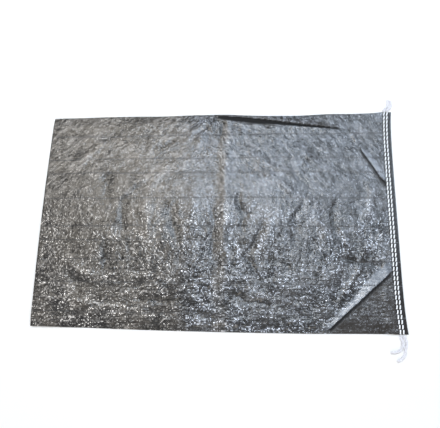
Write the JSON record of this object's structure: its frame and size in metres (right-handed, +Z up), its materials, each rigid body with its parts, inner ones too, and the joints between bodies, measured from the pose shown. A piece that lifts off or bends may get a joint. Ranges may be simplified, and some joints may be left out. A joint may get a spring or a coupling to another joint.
{
  "type": "laminated polypropylene sack",
  "caption": "Empty laminated woven polypropylene sack lying flat, open mouth, folded bottom hem sewn with two thread rows and loose thread ends.",
  "frame": {"origin": "on the floor under the middle of the sack's footprint, loose thread ends left out", "axes": "+X along the sack's length towards the sewn bottom, mouth at -X; +Y across the width; +Z up"},
  "size_m": [0.8071, 0.5808, 0.0148],
  "materials": {
    "laminated_fabric": "dark grey tape-woven fabric under a thin clear film, creased, satin to glossy",
    "thread": "white multifilament sewing thread",
    "thread_tail": "loose chain of white multifilament thread"
  },
  "bodies": {
    "root": {"sack": "laminated_fabric", "stitch_row_outer": "thread", "stitch_row_inner": "thread", "tail_front_outer": "thread_tail", "tail_front_inner": "thread_tail", "tail_back_outer": "thread_tail", "tail_back_inner": "thread_tail"}
  },
  "joints": []
}
